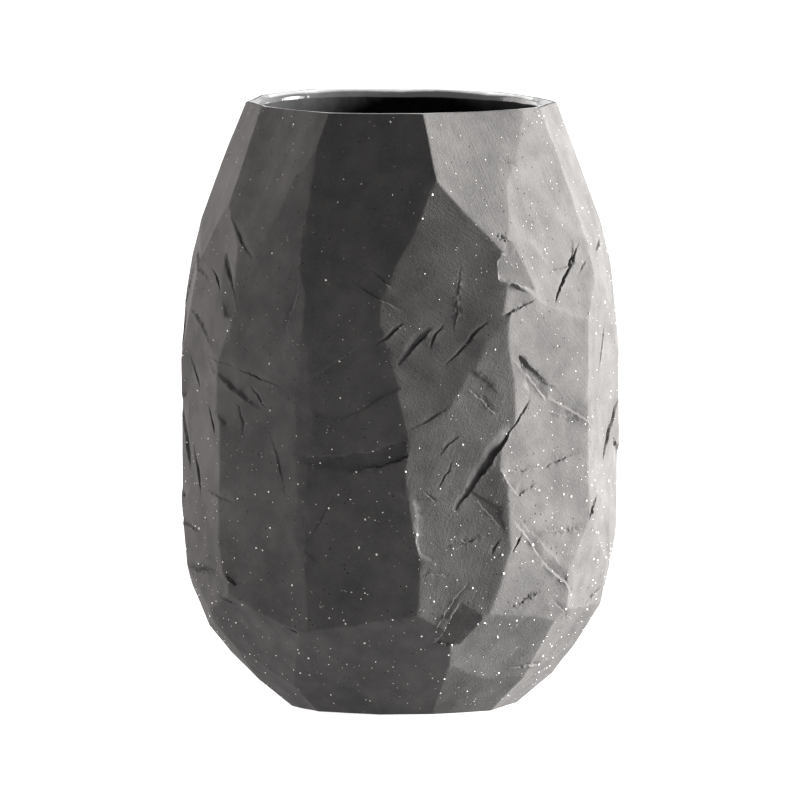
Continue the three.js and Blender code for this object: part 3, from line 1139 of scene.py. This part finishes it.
@dataclass
class CarvedClay:
    """The clay wall and floor, with the knife work on its outside."""

    knife: KnifeWork
    columns: int = 800
    outside_rows: int = 344
    edge: float = 0.5
    most_triangles: int = 188000
    sharp_edge: float = 38.0
    hollow_top: float = -2.8
    hollow_steps: int = 18
    inner_slope: tuple[Pair, ...] = (
        (0.93, 0.0),
        (0.86, -0.1),
        (0.78, -0.35),
        (0.62, -0.75),
        (0.45, -1.1),
        (0.3, -1.6),
        (0.12, -2.4),
    )

    def rows(self) -> RolledSheet:
        """Lays out the rows from the middle of the foot, up the outside and down the hollow."""
        rounding = self.edge * (1 - np.cos(np.linspace(0, math.pi / 2, 5)))[:-1]
        up = np.linspace(self.edge, CLAY_TOP - self.edge, self.outside_rows)
        top_edge = CLAY_TOP - self.edge * (1 - np.sin(np.linspace(0, math.pi / 2, 5)))[1:]
        slope = np.array(self.inner_slope)
        outline = SHAPE.hollow_outline(0.0, CLAY_TOP + self.hollow_top, self.hollow_steps)[::-1]
        rim_inner = float(outline[0, 0])
        foot = np.linspace(0.0, 0.985, 7)
        over = CLAY_TOP + slope[:, 1]
        heights = np.concatenate([foot * 0, rounding, up, top_edge, over, outline[:, 1]])
        guides = np.concatenate(
            [foot * 0, rounding * 0, up * 0, top_edge * 0, over * 0 + rim_inner, outline[:, 0]]
        )
        shares = np.concatenate(
            [foot, rounding * 0 + 1, up * 0 + 1, top_edge * 0 + 1, slope[:, 0], outline[:, 0] * 0]
        )
        return RolledSheet("carved_clay", self.columns, heights, guides, shares)

    def build(self) -> bpy.types.Object:
        """Makes the clay and keeps on it what its finish reads.

        Returns:
            The finished piece.
        """
        rows = self.rows()
        sheet = rows.spread()
        self.refine(sheet, rows)
        azimuth, z, guide, share = rows.read(sheet)
        outside = self.knife.surface(azimuth, z)["points"]
        radius = np.hypot(outside[:, 0], outside[:, 1])
        rounded = self.rounding(z)
        held = share >= 0.9999  # on the carved outside itself
        wanted = guide + (radius - rounded * held - guide) * share
        height = np.where(held, outside[:, 2], z)
        height = np.clip(height, 0.0, None)
        height += rim_lift(azimuth, z)
        place(sheet, round_axis(wanted, azimuth, height))
        rows.close(sheet)
        self.thin(sheet)
        self.mark(sheet)
        bpy.ops.object.shade_smooth_by_angle(angle=math.radians(self.sharp_edge))
        return sheet

    def rounding(self, z: np.ndarray) -> np.ndarray:
        """How far the edges of foot and rim are rounded back at heights z."""
        low = np.clip(self.edge - z, 0, self.edge)
        high = np.clip(z - CLAY_TOP + self.edge, 0, self.edge)
        return 2 * self.edge - sum(np.sqrt(self.edge**2 - d**2) for d in (low, high))

    def refine(self, sheet: bpy.types.Object, rows: RolledSheet) -> None:
        """Divides the sheet finer where cuts will lie."""
        centres = read(sheet.data.polygons, "center")
        row = (centres[:, 1] + 1) / 2 * (len(rows.heights) - 1)
        index = np.arange(len(rows.heights))
        z = np.interp(row, index, rows.heights)
        chosen = self.knife.near_cut(centres[:, 0] * math.pi, z)
        chosen &= np.interp(row, index, rows.shares) > 0.999
        chosen &= np.abs(centres[:, 0]) < 0.995
        bpy.ops.object.mode_set(mode="EDIT")
        bpy.ops.mesh.select_mode(type="FACE")
        bpy.ops.mesh.select_all(action="DESELECT")
        bpy.ops.object.mode_set(mode="OBJECT")
        sheet.data.polygons.foreach_set("select", chosen)
        bpy.ops.object.mode_set(mode="EDIT")
        bpy.ops.mesh.subdivide(number_cuts=1)
        bpy.ops.object.mode_set(mode="OBJECT")

    def thin(self, sheet: bpy.types.Object) -> None:
        """Takes away the corners that the flats don't need."""
        bpy.ops.object.mode_set(mode="EDIT")
        bpy.ops.mesh.select_all(action="SELECT")
        bpy.ops.mesh.quads_convert_to_tris()
        bpy.ops.object.mode_set(mode="OBJECT")
        count = len(sheet.data.polygons)
        if count > self.most_triangles:
            fewer = sheet.modifiers.new("fewer", "DECIMATE")
            fewer.ratio = self.most_triangles / count
            bpy.ops.object.modifier_apply(modifier=fewer.name)

    def mark(self, sheet: bpy.types.Object) -> None:
        """Keeps on the clay its ridges, its depth in cuts for the painted shade, and the drag of
        the knife.
        """
        mesh = sheet.data
        corners = read(mesh.vertices, "co") / MM
        azimuth = np.arctan2(corners[:, 0], -corners[:, 1])
        z = np.clip(corners[:, 2], 0.0, CLAY_TOP)
        found = self.knife.surface(azimuth, z)
        # deep carries the depth in cuts that sets the painted shade
        for name in ("ridge", "deep"):
            kept = mesh.attributes.new(name, "FLOAT", "POINT")
            kept.data.foreach_set("value", found[name].astype(np.float32))
        loops = np.empty(len(mesh.loops), dtype=np.int32)
        mesh.loops.foreach_get("vertex_index", loops)
        flat = found["flat"][loops].reshape(-1, 3)[:, 0].repeat(3)
        across = SHAPE.belly_radius * wrapped(azimuth[loops] - self.knife.azimuths[flat])
        drag = self.knife.drags[flat]
        up = z[loops]
        along = across * np.sin(drag) + up * np.cos(drag) + 17.0 * flat
        aside = across * np.cos(drag) - up * np.sin(drag) + 29.0 * flat
        layer = mesh.uv_layers.new(name="knife")
        layer.data.foreach_set("uv", np.stack([aside, along], axis=1).astype(np.float32).ravel())


@dataclass
class GlassCoat:
    """The glass on the hollow and over the lip."""

    knife: KnifeWork
    columns: int = 240
    gap: float = 0.3
    thickness: float = 0.8
    setback: float = 0.9
    steps: int = 22
    back_top: float = -3.6
    edge_probe: float = 3.0
    sharp_edge: float = 50.0
    lip: tuple[Pair, ...] = (
        (0.0, -3.4),
        (0.015, -2.8),
        (0.04, -2.25),
        (0.08, -1.75),
        (0.14, -1.3),
        (0.22, -0.95),
        (0.32, -0.66),
        (0.45, -0.42),
        (0.58, -0.2),
        (0.7, -0.05),
        (0.8, 0.03),
        (0.9, 0.05),
        (0.96, 0.02),
        (1.0, -0.12),
    )
    underside: tuple[Pair, ...] = ((0.9, -0.6), (0.6, -1.2), (0.3, -2.0))

    def build(self) -> bpy.types.Object:
        """Makes the coat: up the hollow, over the crown, and back down behind itself.

        Returns:
            The finished piece.
        """
        lip = np.array(self.lip)
        seen = SHAPE.hollow_outline(self.gap + self.thickness, CLAY_TOP + lip[0, 1], self.steps)
        back = SHAPE.hollow_outline(self.gap, CLAY_TOP + self.back_top, self.steps)[::-1]
        inner = float(seen[-1, 0])
        crown = CLAY_TOP + lip[1:, 1]
        under = np.array(self.underside)
        below = CLAY_TOP + under[:, 1]
        heights = np.concatenate([seen[:, 1], crown, below, back[:, 1]])
        guides = np.concatenate([seen[:, 0], crown * 0 + inner, below * 0 + inner, back[:, 0]])
        share = np.concatenate([seen[:, 0] * 0, lip[1:, 0], under[:, 0], back[:, 0] * 0])
        rows = RolledSheet("glass_coat", self.columns, heights, guides, share)
        sheet = rows.spread()
        azimuth, z, guide, out = rows.read(sheet)
        rim = self.knife.surface(azimuth, z * 0 + CLAY_TOP - self.edge_probe)["points"]
        lean = math.tan(float(SHAPE.lean(np.array(CLAY_TOP))))
        edge = np.hypot(rim[:, 0], rim[:, 1]) - self.edge_probe * lean - self.setback
        radius = guide + (edge - guide) * out
        height = z + rim_lift(azimuth, z)
        place(sheet, round_axis(radius, azimuth, height))
        rows.close(sheet)
        bpy.ops.object.shade_smooth_by_angle(angle=math.radians(self.sharp_edge))
        return sheet


@dataclass
class GrogGrains:
    """Pale grains that the knife laid bare."""

    knife: KnifeWork
    count: int = 1150
    smallest: float = 0.17
    largest: float = 0.52
    seed: int = 23
    half_sunk: float = 0.35
    tries_each: int = 6
    lowest: float = 3.0
    below_rim: float = 1.5
    rarity: float = 3.0

    @staticmethod
    def crowding(azimuth: np.ndarray, z: np.ndarray, ridge: np.ndarray) -> np.ndarray:
        """How readily grains show: more low down, on ridges and on the front of the rim."""
        wanted = 0.14 + 0.58 * eased((150.0 - z) / 110.0) + 0.5 * ridge
        wanted += 0.55 * eased((z - 240.0) / 5.0) * (np.abs(azimuth) < 1.2)
        return wanted * (SHAPE.radius(z) / SHAPE.belly_radius)

    def build(self) -> bpy.types.Object:
        """Models one grain and sows its copies, half sunk in the surface.

        Returns:
            The finished piece.
        """
        bpy.ops.object.select_all(action="DESELECT")
        bpy.ops.mesh.primitive_ico_sphere_add(subdivisions=1, radius=1.0)
        grain = bpy.context.object
        ball = read(grain.data.vertices, "co")
        faces = np.array([tuple(p.vertices) for p in grain.data.polygons])
        draw = np.random.default_rng(self.seed)
        tries = self.count * self.tries_each
        azimuth = draw.uniform(-math.pi, math.pi, tries)
        z = draw.uniform(self.lowest, CLAY_TOP - self.below_rim, tries)
        found = self.knife.surface(azimuth, z)
        wanted = self.crowding(azimuth, z, found["ridge"])
        kept = np.nonzero(draw.random(tries) < wanted * 0.9)[0][: self.count]
        points = found["points"][kept]
        lean = SHAPE.lean(z[kept])
        out = round_axis(np.cos(lean), azimuth[kept], np.sin(lean))
        spread = draw.random(len(kept)) ** self.rarity
        size = self.smallest + (self.largest - self.smallest) * spread
        stretch = draw.uniform(0.75, 1.3, (len(kept), 3))
        turn = draw.uniform(0, 2 * math.pi, len(kept))
        cos, sin = np.cos(turn), np.sin(turn)
        shaped = ball[None] * stretch[:, None] * size[:, None, None]
        x = shaped[..., 0] * cos[:, None] - shaped[..., 1] * sin[:, None]
        y = shaped[..., 0] * sin[:, None] + shaped[..., 1] * cos[:, None]
        shaped = np.stack([x, y, shaped[..., 2]], axis=2)
        centres = points - out * (size * self.half_sunk)[:, None]
        corners = (centres[:, None] + shaped).reshape(-1, 3)
        index = faces[None] + (np.arange(len(kept)) * len(ball))[:, None, None]
        mesh = bpy.data.meshes.new("grog_grains")
        mesh.from_pydata((corners * MM).tolist(), [], index.reshape(-1, 3).tolist())
        mesh.update()
        bpy.data.objects.remove(grain)
        piece = bpy.data.objects.new("grog_grains", mesh)
        bpy.context.scene.collection.objects.link(piece)
        choose(piece)
        bpy.ops.object.shade_smooth()
        return piece


# ---- Studio ----


@dataclass(frozen=True)
class Lamp:
    """A broad lamp far away, by the direction that it stands in."""

    name: str
    azimuth: float
    elevation: float
    breadth: float
    strength: float
    shine: float = 1.0
    tint: Colour = (1.0, 1.0, 1.0)

    def hang(self) -> None:
        """Adds the lamp, in two parts when glass mirrors only a share of it."""
        self.add(self.name, self.strength * self.shine)
        if self.shine < 1.0:
            veiled = self.add(self.name + "_veiled", self.strength * (1.0 - self.shine))
            veiled.visible_glossy = False

    def add(self, name: str, strength: float) -> bpy.types.Object:
        """Adds one light.

        Args:
            name: Its name.
            strength: Its strength.

        Returns:
            The light.
        """
        data = bpy.data.lights.new(name, "SUN")
        data.angle = math.radians(self.breadth)
        data.energy = strength
        data.color = self.tint
        lamp = bpy.data.objects.new(name, data)
        bpy.context.scene.collection.objects.link(lamp)
        towards = Vector(direction(math.radians(self.azimuth), math.radians(self.elevation)))
        lamp.location = towards * 3.0
        lamp.rotation_euler = towards.to_track_quat("Z", "Y").to_euler()
        return lamp


@dataclass
class Studio:
    """Pale floor, soft lamps and the camera."""

    floor_size: float = 60.0
    floor_colour: Colour = (0.15, 0.15, 0.15)
    floor_glow: float = 0.95
    sky_light: float = 0.06
    distance: float = 9.0
    elevation: float = 4.9
    aim: float = 0.1258
    view_width: float = 0.330
    sensor: float = 36.0
    sight: float = 400.0
    lamps: tuple[Lamp, ...] = (
        Lamp("key", 99.9, 12.0, 25.0, 38.5, 0.06, (1.0, 0.995, 0.975)),
        Lamp("fill", -124.0, 7.0, 55.0, 13.2, 0.1, (1.0, 0.955, 0.94)),
        Lamp("back", 180.0, 50.0, 60.0, 1.6),
    )

    def floor(self) -> bpy.types.Object:
        """Lays the floor, which glows a little so that shadows on it stay faint."""
        bpy.ops.object.select_all(action="DESELECT")
        bpy.ops.mesh.primitive_plane_add(size=self.floor_size)
        floor = bpy.context.object
        floor.name = floor.data.name = "floor"
        bench = NodeBench("pale_floor")
        bench.shader.inputs["Base Color"].default_value = (*self.floor_colour, 1.0)
        bench.shader.inputs["Roughness"].default_value = 1.0
        bench.shader.inputs["Specular IOR Level"].default_value = 0.0
        bench.shader.inputs["Emission Color"].default_value = (1.0, 1.0, 1.0, 1.0)
        bench.shader.inputs["Emission Strength"].default_value = self.floor_glow
        floor.data.materials.append(bench.material)
        return floor

    def backdrop(self) -> None:
        """Makes the world white to look at and faint as a light."""
        scene = bpy.context.scene
        world = bpy.data.worlds.new("studio")
        scene.world = world
        world.use_nodes = True
        tree = world.node_tree
        sky = next(n for n in tree.nodes if n.type == "BACKGROUND")
        path = tree.nodes.new("ShaderNodeLightPath")
        glossy = tree.nodes.new("ShaderNodeMapRange")
        glossy.inputs["To Min"].default_value = self.sky_light
        glossy.inputs["To Max"].default_value = 1.0
        seen = tree.nodes.new("ShaderNodeMapRange")
        seen.inputs["To Max"].default_value = 1.0
        tree.links.new(path.outputs["Is Glossy Ray"], glossy.inputs["Value"])
        tree.links.new(glossy.outputs["Result"], seen.inputs["To Min"])
        tree.links.new(path.outputs["Is Camera Ray"], seen.inputs["Value"])
        tree.links.new(seen.outputs["Result"], sky.inputs["Strength"])
        sky.inputs["Color"].default_value = (1.0, 1.0, 1.0, 1.0)
        scene.view_settings.view_transform = "Standard"

    def camera(self) -> None:
        """Places the camera a little above the middle of the vase, in front of it."""
        data = bpy.data.cameras.new("camera")
        data.sensor_width = self.sensor
        data.lens = self.sensor * self.distance / self.view_width
        data.clip_end = self.sight
        camera = bpy.data.objects.new("camera", data)
        bpy.context.scene.collection.objects.link(camera)
        back = Vector(direction(0.0, math.radians(self.elevation)))
        camera.location = Vector((0.0, 0.0, self.aim)) + back * self.distance
        camera.rotation_euler = back.to_track_quat("Z", "Y").to_euler()
        bpy.context.scene.camera = camera

    def build(self) -> None:
        """Sets the studio up."""
        self.camera()
        self.floor()
        self.backdrop()
        for lamp in self.lamps:
            lamp.hang()


def finish_piece(piece: bpy.types.Object, material: bpy.types.Material) -> None:
    """Dresses a piece and gives it to the frame.

    Args:
        piece: The finished piece.
        material: Its finish.
    """
    piece.data.materials.clear()
    piece.data.materials.append(material)
    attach(piece, "root")
    LOG.info("%s: %d faces", piece.name, len(piece.data.polygons))


def main() -> None:
    """Builds the vase and its studio."""
    logging.basicConfig(level=logging.INFO, format="%(name)s: %(message)s")
    Studio().build()
    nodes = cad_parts
    clay_material, glass_material = BareClay().make(), BlackGlass().make()
    for name, material in (("stoneware_body", clay_material), ("glaze_lining", glass_material)):
        nodes[name].data.materials.clear()
        nodes[name].data.materials.append(material)
    knife = KnifeWork(nodes["stoneware_body"])
    LOG.info("flats read: %d", len(knife.offsets))
    clay = CarvedClay(knife).build()
    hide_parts("stoneware_body")
    finish_piece(clay, clay_material)
    coat = GlassCoat(knife).build()
    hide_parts("glaze_lining")
    finish_piece(coat, glass_material)
    grains = GrogGrains(knife).build()
    finish_piece(grains, PaleGrog().make())


if __name__ == "__main__":
    main()
